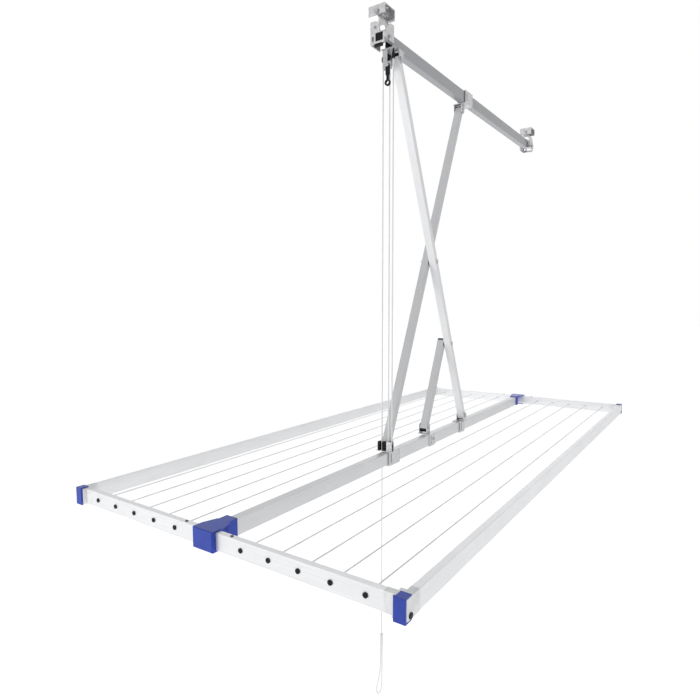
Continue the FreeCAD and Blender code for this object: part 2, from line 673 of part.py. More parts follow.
def strap_rivet_seat():
    """Where a rivet head sits on the rail over its near strap, and the way the rivet runs."""
    return V(0, -RAIL_END + STRAP_TONGUE / 2, -RAIL_DROP), -Z_AXIS


def rail_rivet(seat, inward, head_height):
    """A rivet through the rail's wall and the sheet on one or both of its sides."""
    shank = rod(seat, inward, AXLE_RADIUS, PLATE + TUBE_WALL + TONGUE_THICK)
    head = rod(seat, -inward, FOOT_SCREW_HEAD_RADIUS, head_height)
    return shank.fuse(head)


def rail_rivets():
    strap_rivet = rail_rivet(*strap_rivet_seat(), STRAP_RIVET_HEAD)
    made = [rail_rivet(seat, inward, FOOT_SCREW_HEAD) for seat, inward in bracket_rivet_seats()]
    return Part.makeCompound(made + [strap_rivet, mirrored(strap_rivet, Y_AXIS)])


def fixed_pivot_bracket():
    z_base = RAIL_BOTTOM - PLATE
    plate = block(
        (-RAIL_WIDTH / 2, FRONT_PLANE + EAR_REACH),
        (PIVOT_Y - FIXED_PLATE_HALF, PIVOT_Y + FIXED_PLATE_HALF),
        (RAIL_BOTTOM, z_base),
    )
    body = fuse_all([plate] + ear_pair(1, PIVOT_Y, PIVOT_Z, z_base))
    holes = [rod(seat, inward, AXLE_RADIUS, PLATE) for seat, inward in bracket_rivet_seats()]
    return cut_all(body, holes + [ear_holes(1, PIVOT_Y, PIVOT_Z)])


def top_rail():
    rail = tube(
        (-RAIL_WIDTH / 2, RAIL_WIDTH / 2),
        (-RAIL_END, RAIL_END),
        (RAIL_BOTTOM, -RAIL_DROP),
        Y_AXIS,
    )
    holes = [
        rod(seat + inward * PLATE, inward, AXLE_RADIUS, TUBE_WALL)
        for seat, inward in bracket_rivet_seats()
    ]
    seat, inward = strap_rivet_seat()
    strap_hole = rod(seat, inward, AXLE_RADIUS, TUBE_WALL)
    return cut_all(rail, holes + [strap_hole, mirrored(strap_hole, Y_AXIS)])


# ---- ceiling pulley, cord lock and cord
def sheave_housing():
    """Two plates beside the ceiling sheave, hung from a tongue that lies in the rail."""
    rim = SHEAVE_CORD_RADIUS + SHEAVE_RIM
    left = SHEAVE_X - rim
    right = SHEAVE_X + rim
    bottom = -LOCK_PIVOT_DROP - LOCK_MARGIN
    front = CORD_Y - HOUSING_GAP - HOUSING_PLATE
    back = CORD_Y + HOUSING_GAP + HOUSING_PLATE
    flange = block(
        (left, SECOND_FALL_X + ANCHOR_RADIUS),
        (front, back),
        (RAIL_BOTTOM, RAIL_BOTTOM - HOUSING_PLATE),
    )
    plate_top = RAIL_BOTTOM - HOUSING_PLATE
    front_limits = (front, front + HOUSING_PLATE)
    front_left = left + PLATE_NARROWING
    plates = [
        block((left, right), (back - HOUSING_PLATE, back), (bottom, plate_top)),
        block((front_left, front_left + FRONT_PLATE_WIDTH), front_limits, (bottom, plate_top)),
        block((front_left, right), front_limits, (bottom, FRONT_PLATE_STEP - LOCK_PIVOT_DROP)),
    ]
    floor = RAIL_BOTTOM + TUBE_WALL
    across = (-TONGUE_HALF, TONGUE_HALF)
    step = block(across, (-RAIL_END - HOUSING_PLATE, -RAIL_END), (RAIL_BOTTOM, floor + TONGUE_THICK))
    tongue = block(across, (-RAIL_END, -RAIL_END + STRAP_TONGUE), (floor, floor + TONGUE_THICK))
    holes = [
        rod(V(SHEAVE_X, front, -SHEAVE_DROP), Y_AXIS, AXLE_RADIUS, back - front),
        rod(V(LOCK_X, front, -LOCK_PIVOT_DROP), Y_AXIS, AXLE_RADIUS, HOUSING_PLATE),
    ]
    rivet_holes = [
        rod(seat, inward, AXLE_RADIUS, PLATE + TUBE_WALL + TONGUE_THICK)
        for seat, inward in bracket_rivet_seats()
    ]
    return cut_all(fuse_all([flange, step, tongue] + plates), holes + rivet_holes)


def sheave_axle(x, z, gap):
    length = 2 * (gap + HOUSING_PLATE)
    start = V(x, CORD_Y - length / 2, z)
    return rod(start, Y_AXIS, AXLE_RADIUS, length)


def lock_plane():
    """The middle plane of the cord lock lever, in front of the sheave housing."""
    return CORD_Y - HOUSING_GAP - HOUSING_PLATE - SIDE_GAP - LOCK_THICK / 2


def cord_lock_lever():
    y = lock_plane()
    y_limits = (y - LOCK_THICK / 2, y + LOCK_THICK / 2)
    pivot_z = -LOCK_PIVOT_DROP
    eye_z = pivot_z - LOCK_LENGTH
    half_width = LOCK_WIDTH / 2
    half_stem = LOCK_STEM_WIDTH / 2
    body = block((LOCK_X - half_width, LOCK_X + half_width), y_limits, (pivot_z, pivot_z - LOCK_BODY_LENGTH))
    top = rod(V(LOCK_X, y_limits[0], pivot_z), Y_AXIS, half_width, LOCK_THICK)
    stem = block((LOCK_X - half_stem, LOCK_X + half_stem), y_limits, (pivot_z, eye_z))
    eye = rod(V(LOCK_X, y_limits[0], eye_z), Y_AXIS, EYE_OUTER, LOCK_THICK)
    hole = rod(V(LOCK_X, y_limits[0], eye_z), Y_AXIS, EYE_INNER, LOCK_THICK)
    bore = rod(V(LOCK_X, y_limits[0], pivot_z), Y_AXIS, AXLE_RADIUS + RUNNING_FIT, LOCK_THICK)
    return cut_all(fuse_all([body, top, stem, eye]), [hole, bore])


def cord_lock_pin():
    front = lock_plane() - LOCK_THICK / 2 - RIVET_GAP
    back = CORD_Y - HOUSING_GAP
    shank = rod(V(LOCK_X, front, -LOCK_PIVOT_DROP), Y_AXIS, AXLE_RADIUS, back - front)
    head = rod(V(LOCK_X, front - HEAD_THICK, -LOCK_PIVOT_DROP), Y_AXIS, FOOT_SCREW_HEAD_RADIUS, HEAD_THICK)
    return shank.fuse(head)


def cord_anchor():
    """The stud that the second lifting fall ends in, under the housing's flange."""
    top = V(SECOND_FALL_X, CORD_Y, RAIL_BOTTOM - HOUSING_PLATE)
    stem = rod(top, -Z_AXIS, ANCHOR_STEM_RADIUS, ANCHOR_STEM)
    return stem.fuse(rod(top - Z_AXIS * ANCHOR_STEM, -Z_AXIS, ANCHOR_RADIUS, ANCHOR_LENGTH))


def hand_cord():
    """The cord over the ceiling sheave and straight down to the knot of the hand loop."""
    centre = V(SHEAVE_X, CORD_Y, -SHEAVE_DROP)
    over = half_turn(centre, SHEAVE_CORD_RADIUS, True)
    down = Part.LineSegment(
        V(HAND_CORD_X, CORD_Y, -SHEAVE_DROP),
        V(HAND_CORD_X, CORD_Y, -KNOT_TOP_DROP),
    ).toShape()
    return cord_sweep([over, down], centre + X_AXIS * SHEAVE_CORD_RADIUS, Z_AXIS)


def hand_loop():
    points = [V(HAND_CORD_X + x, CORD_Y, KNOT_BOTTOM - drop) for x, drop in LOOP_ROUTE]
    edges, radii = rounded_route(points)
    loop = cord_sweep(edges, points[0], Z_AXIS)
    length = sum(edge.Length for edge in edges)
    expected = math.pi * CORD_RADIUS ** 2 * length
    print("hand loop radii", [round(radius, 1) for radius in radii])
    print("hand loop length", round(length, 1), "volume", round(loop.Volume), "of", round(expected))
    return loop


def hand_knot():
    knot = rod(V(HAND_CORD_X, CORD_Y, -KNOT_TOP_DROP), -Z_AXIS, KNOT_RADIUS, KNOT_LENGTH)
    rims = [edge for edge in knot.Edges if isinstance(edge.Curve, Part.Circle)]
    return knot.makeFillet(CORD_RADIUS, rims)


def lift_falls():
    """The two straight parts of the cord between the ceiling and the lifting pulley."""
    first = rod(V(FIRST_FALL_X, CORD_Y, -SHEAVE_DROP), -Z_AXIS, CORD_RADIUS, -SHEAVE_DROP - PULLEY_Z)
    anchor_foot = RAIL_BOTTOM - HOUSING_PLATE - ANCHOR_STEM - ANCHOR_LENGTH
    second = rod(V(SECOND_FALL_X, CORD_Y, anchor_foot), -Z_AXIS, CORD_RADIUS, anchor_foot - PULLEY_Z)
    return Part.makeCompound([first, second])


# ---- feet that slide on, or are fixed to, the centre beam
def near_foot():
    """The near foot, which also carries the lifting pulley and the hand cord's guide."""
    y_limits = (PIVOT_Y - NEAR_FOOT_AHEAD, PIVOT_Y + NEAR_FOOT_BEHIND)
    body = sleeve_bracket(-1, BEAM_SECTION, BEAM_Z, y_limits, PIVOT_Y, FOOT_Z, SLIDE_GAP)
    rim = PULLEY_CORD_RADIUS + SHEAVE_RIM
    table_top = BEAM_TOP + SLEEVE_TOP
    left = PULLEY_X - rim
    right = PULLEY_X + rim
    table = block((0, right), (y_limits[0], CORD_Y + HOUSING_GAP + HOUSING_PLATE),
                  (table_top - PLATE, table_top))
    plates = [
        block((left, right), (CORD_Y + side * HOUSING_GAP, CORD_Y + side * (HOUSING_GAP + HOUSING_PLATE)),
              (table_top, PULLEY_Z + rim))
        for side in (-1, 1)
    ]
    axle_hole = sheave_axle(PULLEY_X, PULLEY_Z, HOUSING_GAP)
    notch = block(
        (HAND_CORD_X - CORD_NOTCH / 2, HAND_CORD_X + CORD_NOTCH / 2),
        (y_limits[0], CORD_Y + CORD_NOTCH / 2),
        (BEAM_Z - FRAME_HEIGHT / 2 - SLEEVE_TOP, table_top),
    )
    return cut_all(fuse_all([body, table] + plates), [axle_hole, notch])


def hand_cord_guide():
    """A forked block on the near foot that the hand cord runs through."""
    table_top = BEAM_TOP + SLEEVE_TOP
    front = CORD_Y - GUIDE_DEPTH / 2
    body = block(
        (HAND_CORD_X - GUIDE_WIDTH / 2, HAND_CORD_X + GUIDE_WIDTH / 2),
        (front, front + GUIDE_DEPTH),
        (table_top, table_top + GUIDE_HEIGHT),
    )
    slot = block(
        (HAND_CORD_X - GUIDE_SLOT / 2, HAND_CORD_X + GUIDE_SLOT / 2),
        (front, CORD_Y + GUIDE_SLOT / 2),
        (table_top, table_top + GUIDE_HEIGHT),
    )
    return body.cut(slot)


def pulley_cord_turn():
    centre = V(PULLEY_X, CORD_Y, PULLEY_Z)
    under = half_turn(centre, PULLEY_CORD_RADIUS, False)
    return cord_sweep([under], centre + X_AXIS * PULLEY_CORD_RADIUS, Z_AXIS)


def foot_screw_seats():
    """Seats of the screws that hold the middle foot to the beam, on its two sides."""
    y = CROSSING_Y + FOOT_HALF / 2
    face = BEAM_WIDTH / 2 + PLATE
    return [(V(face, y, BEAM_Z), X_AXIS), (V(-face, y, BEAM_Z), -X_AXIS)]


def foot_screw(seat, outward):
    shank = rod(seat, -outward, FOOT_SCREW_RADIUS, PLATE + TUBE_WALL)
    head = rod(seat, outward, FOOT_SCREW_HEAD_RADIUS, FOOT_SCREW_HEAD)
    return shank.fuse(head)


def middle_foot():
    y_limits = (CROSSING_Y - FOOT_HALF, CROSSING_Y + FOOT_HALF)
    body = sleeve_bracket(-1, BEAM_SECTION, BEAM_Z, y_limits, CROSSING_Y, FOOT_Z, 0.0)
    holes = [rod(seat, -outward, FOOT_SCREW_RADIUS, PLATE) for seat, outward in foot_screw_seats()]
    return cut_all(body, holes)


def centre_beam():
    reach = RACK_END - BEAM_END
    beam = tube(
        (-BEAM_WIDTH / 2, BEAM_WIDTH / 2),
        (RACK_Y - reach, RACK_Y + reach),
        (BEAM_Z - FRAME_HEIGHT / 2, BEAM_TOP),
        Y_AXIS,
    )
    holes = [
        rod(seat - outward * PLATE, -outward, FOOT_SCREW_RADIUS, TUBE_WALL)
        for seat, outward in foot_screw_seats()
    ]
    return cut_all(beam, holes)


# ---- drying frame, built about the rack's own centre and then put in place
def placed(shape):
    shape.translate(V(0, RACK_Y, BEAM_Z))
    return shape


def four_corners(shape):
    """The near right piece and its three mirrors."""
    right = [shape, mirrored(shape, Y_AXIS)]
    return right + [mirrored(piece, X_AXIS) for piece in right]


def line_places():
    return [FIRST_LINE + LINE_SPACING * number for number in range(LINES_PER_SIDE)]


def cross_rail():
    """The right half of the near cross rail, with a stepped hole for each drying line."""
    outer_face = -RACK_END + CAP_STANDOFF
    inner_face = outer_face + CROSS_RAIL_DEPTH
    half_height = FRAME_HEIGHT / 2
    rail = tube(
        (RAIL_JOINT_GAP / 2, RACK_WIDTH / 2 - CORNER_CROSS_REACH),
        (outer_face, inner_face),
        (-half_height, half_height),
        X_AXIS,
    )
    holes = []
    for x in line_places():
        holes.append(rod(V(x, outer_face, 0), Y_AXIS, BUSH_SHANK_RADIUS, TUBE_WALL))
        holes.append(rod(V(x, inner_face - TUBE_WALL, 0), Y_AXIS, LINE_HOLE_RADIUS, TUBE_WALL))
    holes.append(rod(V(JOINER_SCREW_X, outer_face + CROSS_RAIL_DEPTH / 2, half_height),
                     -Z_AXIS, AXLE_RADIUS, TUBE_WALL))
    return cut_all(rail, holes)


def side_rail():
    reach = RACK_END - CORNER_SIDE_REACH
    outer = RACK_WIDTH / 2
    return tube(
        (outer - SIDE_RAIL_WIDTH, outer),
        (-reach, reach),
        (-FRAME_HEIGHT / 2, FRAME_HEIGHT / 2),
        Y_AXIS,
    )


def corner_connector():
    """The elbow in the near right corner, with a spigot into each tube."""
    outer = RACK_WIDTH / 2
    half_height = FRAME_HEIGHT / 2
    across = (-half_height, half_height)
    front = -RACK_END + CAP_WALL
    rail_front = -RACK_END + CAP_STANDOFF
    side_end = -RACK_END + CORNER_SIDE_REACH
    body_back = front + CORNER_BODY + CAP_WALL
    body = block((outer - CORNER_BODY, outer), (front, body_back), across)
    corner = [
        edge for edge in body.Edges
        if abs(edge.CenterOfMass.x - outer) < 1e-6 and abs(edge.CenterOfMass.y - front) < 1e-6
    ]
    body = body.makeFillet(CORNER_ROUND, corner)
    side_arm = block((outer - SIDE_RAIL_WIDTH, outer), (body_back, side_end), across)
    cross_arm = block(
        (outer - CORNER_CROSS_REACH, outer - CORNER_BODY),
        (rail_front, rail_front + CROSS_RAIL_DEPTH),
        across,
    )
    inner_height = (-half_height + TUBE_WALL, half_height - TUBE_WALL)
    side_spigot = block(
        (outer - SIDE_RAIL_WIDTH + TUBE_WALL, outer - TUBE_WALL),
        (side_end, side_end + CORNER_SPIGOT),
        inner_height,
    )
    cross_spigot = block(
        (outer - CORNER_CROSS_REACH - CORNER_SPIGOT, outer - CORNER_CROSS_REACH),
        (rail_front + TUBE_WALL, rail_front + CROSS_RAIL_DEPTH - TUBE_WALL),
        inner_height,
    )
    seat, inward = corner_screw_seat()
    screw_hole = rod(seat, inward, AXLE_RADIUS, CORNER_SCREW_SHANK)
    return fuse_all([body, side_arm, cross_arm, side_spigot, cross_spigot]).cut(screw_hole)


def corner_screw_seat():
    """Where the near right corner's screw sits on the connector, and the way it runs."""
    z = -FRAME_HEIGHT / 2 + CORNER_SCREW_RISE
    return V(RACK_WIDTH / 2, -RACK_END + CORNER_SCREW_BACK, z), -X_AXIS


def corner_screw():
    """The screw that holds a corner connector's moulding together."""
    seat, inward = corner_screw_seat()
    shank = rod(seat, inward, AXLE_RADIUS, CORNER_SCREW_SHANK)
    return shank.fuse(rod(seat, -inward, CORNER_SCREW_RADIUS, CORNER_SCREW_HEAD))


def corner_cap():
    """The cap over the near right corner: a front plate with an upper and a lower lip."""
    outer = RACK_WIDTH / 2
    half_height = FRAME_HEIGHT / 2
    inner = outer - CAP_WIDTH
    plate = block((inner, outer), (-RACK_END, -RACK_END + CAP_WALL),
                  (-half_height - CAP_LIP, half_height + CAP_LIP))
    lip_limits = (-RACK_END + CAP_WALL, -RACK_END + CAP_WALL + CAP_LIP_LENGTH)
    lips = [
        block((inner + CAP_LIP, outer), lip_limits, (side * half_height, side * (half_height + CAP_LIP)))
        for side in (-1, 1)
    ]
    upright = [
        edge for edge in plate.Edges
        if isinstance(edge.Curve, Part.Line)
        and abs(edge.CenterOfMass.y + RACK_END) < 1e-6
    ]
    return fuse_all([plate.makeFillet(CAP_LIP / 2, upright)] + lips)


def centre_cap():
    """The near centre joint: a clip over the cross rail and a clip over the beam's end."""
    half_height = FRAME_HEIGHT / 2
    rail_front = -RACK_END + CAP_STANDOFF
    rail_back = rail_front + CROSS_RAIL_DEPTH
    beam_end = -RACK_END + BEAM_END
    top = half_height + CENTRE_CAP_WALL
    half = CENTRE_CAP_HALF
    front = block((-half, half), (-RACK_END, rail_front), (-half_height - CAP_LIP, top))
    front_edges = [
        edge for edge in front.Edges
        if isinstance(edge.Curve, Part.Line)
        and abs(edge.CenterOfMass.y + RACK_END) < 1e-6
    ]
    front = front.makeFillet(CAP_LIP, front_edges)
    lower_lip = block((-half, half), (rail_front, rail_back), (-half_height - CAP_LIP, -half_height))
    upper_lip = block((-half, half), (rail_front, rail_back), (half_height, top))
    neck_outline = [
        V(-half, rail_back, half_height),
        V(half, rail_back, half_height),
        V(CENTRE_CAP_NECK, rail_back + CENTRE_CAP_TAPER, half_height),
        V(-CENTRE_CAP_NECK, rail_back + CENTRE_CAP_TAPER, half_height),
        V(-half, rail_back, half_height),
    ]
    neck = Part.Face(Part.makePolygon(neck_outline)).extrude(Z_AXIS * CENTRE_CAP_WALL)
    clip_outer = BEAM_WIDTH / 2 + CENTRE_CAP_WALL
    clip_back = beam_end + BEAM_CLIP_LENGTH
    clip_top = block((-clip_outer, clip_outer), (beam_end - CENTRE_CAP_WALL, clip_back), (half_height, top))
    cheeks = [
        block((side * BEAM_WIDTH / 2, side * clip_outer), (beam_end - CENTRE_CAP_WALL, clip_back),
              (-half_height, half_height))
        for side in (-1, 1)
    ]
    end_wall = block((-BEAM_WIDTH / 2, BEAM_WIDTH / 2), (beam_end - CENTRE_CAP_WALL, beam_end),
                     (-half_height, half_height))
    spigot = block(
        (-BEAM_WIDTH / 2 + TUBE_WALL, BEAM_WIDTH / 2 - TUBE_WALL),
        (beam_end, clip_back),
        (-half_height + TUBE_WALL, half_height - TUBE_WALL),
    )
    return fuse_all([front, lower_lip, upper_lip, neck, clip_top, end_wall, spigot] + cheeks)


def rail_joiner():
    """The bar inside the near cross rail that joins its two halves."""
    rail_front = -RACK_END + CAP_STANDOFF
    half_height = FRAME_HEIGHT / 2 - TUBE_WALL
    bar = block(
        (-JOINER_HALF, JOINER_HALF),
        (rail_front + TUBE_WALL, rail_front + CROSS_RAIL_DEPTH - TUBE_WALL),
        (-half_height, half_height),
    )
    holes = [
        rod(V(x, rail_front + CROSS_RAIL_DEPTH / 2, half_height), -Z_AXIS, AXLE_RADIUS, HEAD_RADIUS)
        for x in (-JOINER_SCREW_X, JOINER_SCREW_X)
    ]
    return cut_all(bar, holes)


def joiner_screw():
    rail_middle = -RACK_END + CAP_STANDOFF + CROSS_RAIL_DEPTH / 2
    seat = V(JOINER_SCREW_X, rail_middle, FRAME_HEIGHT / 2)
    shank = rod(seat, -Z_AXIS, AXLE_RADIUS, TUBE_WALL + HEAD_RADIUS)
    head = rod(seat, Z_AXIS, JOINER_SCREW_RADIUS, JOINER_SCREW_HEAD)
    return shank.fuse(head)


def line_bush(x):
    """A bush in the near cross rail's outer wall that grips the end of a drying line."""
    outer_face = -RACK_END + CAP_STANDOFF
    head = rod(V(x, outer_face, 0), -Y_AXIS, BUSH_RADIUS, BUSH_HEAD)
    shank = rod(V(x, outer_face, 0), Y_AXIS, BUSH_SHANK_RADIUS, BUSH_SHANK)
    bore = rod(V(x, outer_face, 0), Y_AXIS, LINE_RADIUS, BUSH_SHANK)
    return head.fuse(shank).cut(bore)


def line_bushes():
    bushes = []
    for x in line_places():
        bushes += four_corners(line_bush(x))
    return Part.makeCompound(bushes)


def drying_lines():
    reach = RACK_END - CAP_STANDOFF
    lines = []
    for x in line_places():
        for side in (-1, 1):
            lines.append(rod(V(side * x, -reach, 0), Y_AXIS, LINE_RADIUS, 2 * reach))
    return Part.makeCompound(lines)


# ---- all pieces by name
def ceiling_pieces():
    near_hanger = hanger()
    near_strap = rail_strap()
    near_plug = rail_plug()
    return {
        "top_rail": top_rail(),
        "near_ceiling_bracket": ceiling_channel(-BRACKET_Y),
        "far_ceiling_bracket": ceiling_channel(BRACKET_Y),
        "near_hanger": near_hanger,
        "far_hanger": mirrored(near_hanger, Y_AXIS),
        "rail_straps": Part.makeCompound([near_strap, mirrored(near_strap, Y_AXIS)]),
        "rail_plugs": Part.makeCompound([near_plug, mirrored(near_plug, Y_AXIS)]),
        "end_pad": end_pad(),
        "hanger_bolts": Part.makeCompound([hanger_bolt(-BRACKET_Y), hanger_bolt(BRACKET_Y)]),
        "cross_bolts": Part.makeCompound([cross_bolt(CROSS_BOLT_Y), cross_bolt(-CROSS_BOLT_Y)]),
        "bolt_nuts": nuts(),
        "fixed_pivot_bracket": fixed_pivot_bracket(),
        "rail_rivets": rail_rivets(),
        "fixed_pivot_pin": pivot_pin(1, PIVOT_Y, PIVOT_Z),
        "sheave_housing": sheave_housing(),
        "ceiling_sheave": sheave(V(SHEAVE_X, CORD_Y, -SHEAVE_DROP), SHEAVE_CORD_RADIUS),
        "sheave_axle": sheave_axle(SHEAVE_X, -SHEAVE_DROP, HOUSING_GAP),
        "cord_lock_lever": cord_lock_lever(),
        "cord_lock_pin": cord_lock_pin(),
        "cord_anchor": cord_anchor(),
        "hand_cord": hand_cord(),
        "hand_knot": hand_knot(),
        "hand_loop": hand_loop(),
        "lift_falls": lift_falls(),
    }


def scissor_pieces():
    half_span = ARM_SPAN / 2
    short_span = SHORT_ARM_SHARE * ARM_SPAN
    front_arm = arm_tube(FRONT_PLANE, ARM_SPAN, [half_span, ARM_SPAN - short_span], [0, ARM_SPAN])
    rear_arm = arm_tube(REAR_PLANE, ARM_SPAN, [], [0, half_span, ARM_SPAN])
    short_arm = arm_tube(REAR_PLANE, short_span, [], [0, short_span])
    joints = [(CROSSING_Y, CROSSING_Z), (BRANCH_Y, BRANCH_Z)]
    slider_limits = (SLIDER_Y - SLIDER_AHEAD, SLIDER_Y + SLIDER_BEHIND)
    far_foot_limits = (SLIDER_Y - FOOT_HALF, SLIDER_Y + FOOT_HALF)
    return {
        "front_long_arm": arm_frame(front_arm, PIVOT_Y, PIVOT_Z, REST_ANGLE),
        "front_arm_plugs": arm_frame(arm_plugs(FRONT_PLANE, ARM_SPAN), PIVOT_Y, PIVOT_Z, REST_ANGLE),
        "rear_long_arm": arm_frame(rear_arm, SLIDER_Y, PIVOT_Z, -REST_ANGLE),
        "rear_arm_plugs": arm_frame(arm_plugs(REAR_PLANE, ARM_SPAN), SLIDER_Y, PIVOT_Z, -REST_ANGLE),
        "short_arm": arm_frame(short_arm, BRANCH_Y, BRANCH_Z, -REST_ANGLE),
        "short_arm_plugs": arm_frame(arm_plugs(REAR_PLANE, short_span), BRANCH_Y, BRANCH_Z, -REST_ANGLE),
        "arm_rivets": Part.makeCompound([arm_rivet(y, z) for y, z in joints]),
        "arm_spacers": Part.makeCompound([arm_spacer(y, z) for y, z in joints]),
        "rail_slider": sleeve_bracket(
            -1, RAIL_SECTION, RAIL_MIDDLE, slider_limits, SLIDER_Y, PIVOT_Z, SLIDE_GAP),
        "slider_pin": pivot_pin(-1, SLIDER_Y, PIVOT_Z),
        "near_foot": near_foot(),
        "near_foot_pin": pivot_pin(-1, PIVOT_Y, FOOT_Z),
        "lifting_pulley": sheave(V(PULLEY_X, CORD_Y, PULLEY_Z), PULLEY_CORD_RADIUS),
        "lifting_pulley_axle": sheave_axle(PULLEY_X, PULLEY_Z, HOUSING_GAP),
        "hand_cord_guide": hand_cord_guide(),
        "pulley_cord_turn": pulley_cord_turn(),
        "far_foot": sleeve_bracket(1, BEAM_SECTION, BEAM_Z, far_foot_limits, SLIDER_Y, FOOT_Z, SLIDE_GAP),
        "far_foot_pin": pivot_pin(1, SLIDER_Y, FOOT_Z),
    }


def rack_pieces():
    near_right_rail, far_right_rail, near_left_rail, far_left_rail = four_corners(cross_rail())
    right_side = side_rail()
    near_centre = centre_cap()
    joiner = rail_joiner()
    frame = {
        "near_right_cross_rail": near_right_rail,
        "far_right_cross_rail": far_right_rail,
        "near_left_cross_rail": near_left_rail,
        "far_left_cross_rail": far_left_rail,
        "right_side_rail": right_side,
        "left_side_rail": mirrored(right_side, X_AXIS),
        "corner_connectors": Part.makeCompound(four_corners(corner_connector())),
        "corner_caps": Part.makeCompound(four_corners(corner_cap())),
        "corner_screws": Part.makeCompound(four_corners(corner_screw())),
        "centre_caps": Part.makeCompound([near_centre, mirrored(near_centre, Y_AXIS)]),
        "rail_joiners": Part.makeCompound([joiner, mirrored(joiner, Y_AXIS)]),
        "joiner_screws": Part.makeCompound(four_corners(joiner_screw())),
        "line_bushes": line_bushes(),
        "drying_lines": drying_lines(),
    }
    pieces = {name: placed(shape) for name, shape in frame.items()}
    pieces["centre_beam"] = centre_beam()
    pieces["middle_foot"] = middle_foot()
    pieces["middle_foot_pin"] = pivot_pin(-1, CROSSING_Y, FOOT_Z)
    screws = [foot_screw(seat, outward) for seat, outward in foot_screw_seats()]
    pieces["middle_foot_screws"] = Part.makeCompound(screws)
    return pieces


def main():
    os.makedirs("parts", exist_ok=True)
    pieces = {}
    pieces.update(ceiling_pieces())
    pieces.update(scissor_pieces())
    pieces.update(rack_pieces())
    for name, shape in pieces.items():
        shape.exportStep("parts/" + name + ".step")
    print(len(pieces), "nodes, rest angle", round(REST_ANGLE, 3), "rest height", round(REST_HEIGHT, 2))


main()
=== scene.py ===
import json
import math

import bpy
from mathutils import Matrix, Vector


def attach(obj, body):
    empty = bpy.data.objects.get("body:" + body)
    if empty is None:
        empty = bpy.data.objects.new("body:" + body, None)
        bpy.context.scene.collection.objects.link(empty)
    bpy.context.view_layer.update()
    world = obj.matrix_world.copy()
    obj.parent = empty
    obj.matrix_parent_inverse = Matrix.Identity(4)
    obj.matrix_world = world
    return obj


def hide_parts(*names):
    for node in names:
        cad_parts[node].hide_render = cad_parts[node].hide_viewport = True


# Looks of the ceiling mounted pulley rack. Metres, in the CAD model's frame: the origin
# is on the ceiling plane between the two brackets, +Y runs along the rail, +Z is up.

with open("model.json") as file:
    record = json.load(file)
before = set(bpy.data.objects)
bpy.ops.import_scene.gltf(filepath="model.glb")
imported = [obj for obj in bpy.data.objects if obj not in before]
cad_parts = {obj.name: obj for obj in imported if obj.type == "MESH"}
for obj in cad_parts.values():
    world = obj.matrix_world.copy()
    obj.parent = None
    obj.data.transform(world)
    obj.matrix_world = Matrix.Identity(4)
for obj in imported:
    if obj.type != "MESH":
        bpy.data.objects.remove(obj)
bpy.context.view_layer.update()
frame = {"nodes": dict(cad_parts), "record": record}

# ---- places shared with the CAD model
CORD_RADIUS = 0.0015
CORD_Y = -0.478
HAND_CORD_X = -0.012
FIRST_FALL_X = 0.005
SHEAVE_DROP = 0.093
KNOT_TOP_DROP = 1.411
KNOT_LENGTH = 0.030
STRAND_OFFSET = 0.0018

# Hand loop below the knot: X from the hand cord's line and drop below the knot's foot.
LOOP_ROUTE = [
    (STRAND_OFFSET, 0.0),
    (STRAND_OFFSET, 0.062),
    (0.0012, 0.100),
    (-0.0024, 0.118),
    (-0.0090, 0.1275),
    (-0.0144, 0.1185),
    (-0.0104, 0.099),
    (-STRAND_OFFSET, 0.062),
    (-STRAND_OFFSET, 0.0),
]

# Lean of the long arms from the vertical at rest.
REST_SPREAD = 0.385
ARM_SPAN = 0.940
ARM_LEAN = math.asin(REST_SPREAD / ARM_SPAN)

# ---- camera
CAMERA_PLACE = Vector((0.6467, -1.5611, -0.6211))
CAMERA_YAW = math.radians(34.651)
CAMERA_PITCH = math.radians(-4.907)
CAMERA_ROLL = math.radians(-0.107)
SENSOR_WIDTH = 36.0
LENS = 28.55
CLIP_END = 50.0

# ---- stage
WHITE_BACKGROUND = (1.0, 1.0, 1.0, 1.0)
WORLD_LIGHT = (0.98, 0.99, 1.0, 1.0)
WORLD_STRENGTH = 0.36
FLOOR_DROP = 2.35
FLOOR_REACH = 40.0
FLOOR_PALE = (0.95, 0.95, 0.95)
FLOOR_PALE_LOW = (0.93, 0.93, 0.93)
FLOOR_CLOUD_SCALE = 3.0
FLOOR_ROUGHNESS = 0.9
FLOOR_GLOW = 0.50            # as a light
FLOOR_SEEN_GLOW = 0.66       # where the camera or a reflection sees it

# Lamps: name, place, target, diameter and power in watts.
RACK_MIDDLE = (0.0, -0.25, -0.8)
LAMPS = [
    ("key", (-1.6, -3.4, -0.6), RACK_MIDDLE, 2.2, 26),
    ("low_right", (1.5, -0.7, -1.7), (0.1, -0.2, -1.0), 0.9, 2.6),
    ("above", (-0.4, 0.6, 1.9), RACK_MIDDLE, 2.6, 17),
    ("back", (-1.2, 3.2, 0.2), RACK_MIDDLE, 2.6, 7),
]

# ---- grain of the materials: scales are per metre, depths in metres
DIE_LINE_SCALE = 900.0
DIE_LINE_STRETCH = 0.02      # along the extrusion, where it is 1 across
DIE_LINE_DEPTH = 0.0002
METAL_CLOUD_SCALE = 14.0
METAL_CLOUD_SHARE = 0.35
SPANGLE_SCALE = 160.0
SPANGLE_GRAIN_SHARE = 0.5
SHEET_GRAIN_SCALE = 420.0
SHEET_GRAIN_DEPTH = 0.0002
SHEET_METALLIC = 0.8
PLASTIC_GRAIN_SCALE = 1500.0
PLASTIC_GRAIN_DEPTH = 0.0001
PLASTIC_CLOUD_SCALE = 45.0
COAT_ROUGHNESS = 0.15
BRAID_SCALE = 280.0
BRAID_LEAN = math.radians(40)
BRAID_WOBBLE = 0.5
BRAID_DEPTH = 0.0003
BRAID_ROUGHNESS = 0.8
BRAID_SHEEN = 0.2


